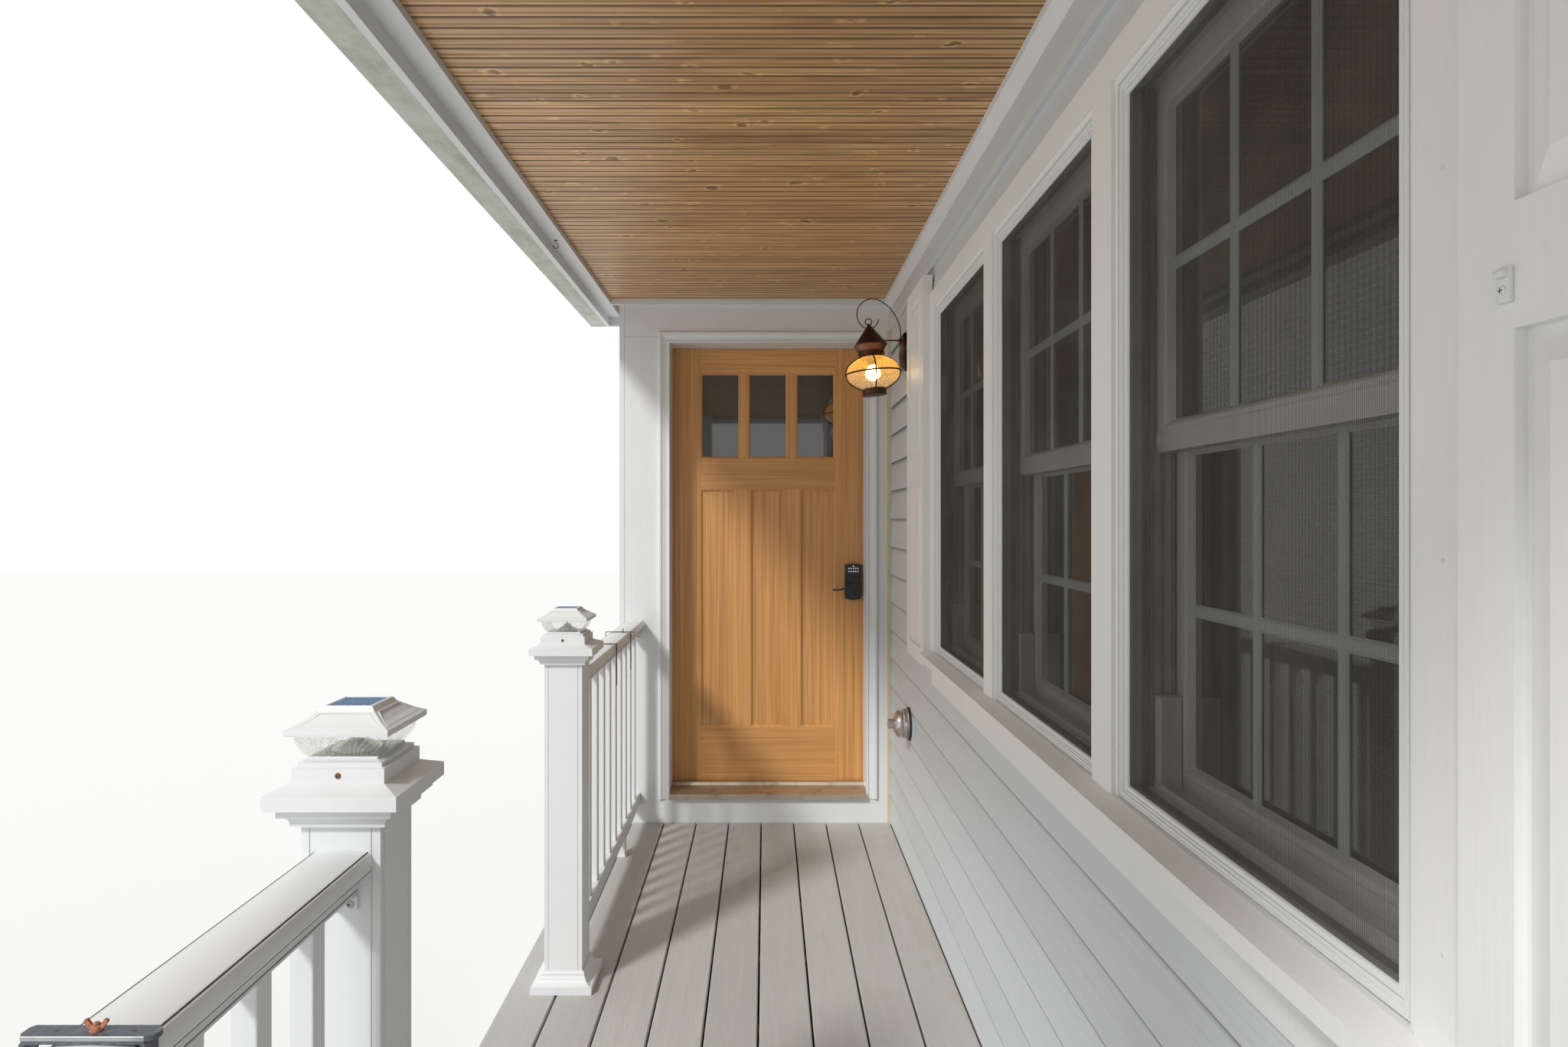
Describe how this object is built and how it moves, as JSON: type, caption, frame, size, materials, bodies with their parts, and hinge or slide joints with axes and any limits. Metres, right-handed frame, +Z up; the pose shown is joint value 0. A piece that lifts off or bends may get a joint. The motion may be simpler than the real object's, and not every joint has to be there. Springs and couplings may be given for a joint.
{
  "type": "covered front porch",
  "caption": "Covered front porch with deck, stone steps, railed edge, window wall, beadboard ceiling, lantern and an entry door that swings inwards.",
  "frame": {"origin": "middle of the overall footprint, on the ground", "axes": "+Y runs along the porch towards the entry door, +X towards the house wall, +Z up"},
  "size_m": [2.159, 4.822, 3.4638],
  "materials": {
    "concrete": "rough",
    "lumber": "sawn",
    "white_pvc": "satin",
    "deck_composite": "embossed grain",
    "granite": "split face",
    "wall_core": "painted board",
    "siding": "painted, embossed grain",
    "painted_wood": "satin paint",
    "door_wood": "clear stain",
    "clear_glass": "clear",
    "black_metal": "satin black",
    "hinge_metal": "satin",
    "sill_metal": "mill finish",
    "window_vinyl": "satin",
    "screen_mesh": "dark woven mesh",
    "pine_ceiling": "stained, satin",
    "roofing": "mineral granules",
    "gutter_metal": "weathered white",
    "lens_plastic": "clear, ribbed",
    "lantern_copper": "aged copper",
    "amber_glass": "seeded",
    "bulb_glass": "frosted, lit",
    "valve_metal": "worn"
  },
  "bodies": {
    "root": {"foundation": "concrete", "deck_frame": "lumber", "deck_skirt": "white_pvc", "deck_boards": "deck_composite", "lower_step": "granite", "upper_step": "granite", "house_wall_low": "wall_core", "house_wall_high": "wall_core", "house_wall_near": "wall_core", "house_wall_far": "wall_core", "house_siding": "siding", "end_wall_left": "wall_core", "end_wall_right": "wall_core", "end_wall_high": "wall_core", "end_wall_low": "wall_core", "end_cladding": "painted_wood", "door_frame": "painted_wood", "door_casing": "painted_wood", "door_threshold": "sill_metal", "frame_hinges": "hinge_metal", "window_frames": "window_vinyl", "window_sashes": "window_vinyl", "window_glass": "clear_glass", "window_screens": "screen_mesh", "window_trim": "painted_wood", "shutters": "painted_wood", "ceiling": "pine_ceiling", "ceiling_trim": "painted_wood", "roof_frame": "lumber", "roof_deck": "roofing", "fascia_boards": "painted_wood", "gutter": "gutter_metal", "rail_posts": "white_pvc", "corner_column": "white_pvc", "post_bases": "white_pvc", "post_caps": "white_pvc", "light_housings": "white_pvc", "light_lenses": "lens_plastic", "far_railing": "white_pvc", "near_railing": "white_pvc", "end_railing": "white_pvc", "lantern_bracket": "lantern_copper", "lantern_frame": "lantern_copper", "lantern_cage": "lantern_copper", "lantern_globe": "amber_glass", "lantern_bulb": "bulb_glass", "wall_valve": "valve_metal"},
    "door": {"door_leaf": "door_wood", "door_glass": "clear_glass", "door_lock": "black_metal", "leaf_hinges": "hinge_metal"},
    "lever": {"door_lever": "black_metal"}
  },
  "joints": [
    {"name": "door_swing", "type": "hinge", "parent": "root", "child": "door", "pos_m": [-0.095, 2.301, 1.7], "axis": [0, 0, 1], "range_deg": [0, 90]},
    {"name": "lever_turn", "type": "hinge", "parent": "door", "child": "lever", "pos_m": [0.7615, 2.249, 1.595], "axis": [0, -1, 0], "range_deg": [0, 45], "stiffness_Nm_per_rad": 0.8}
  ]
}
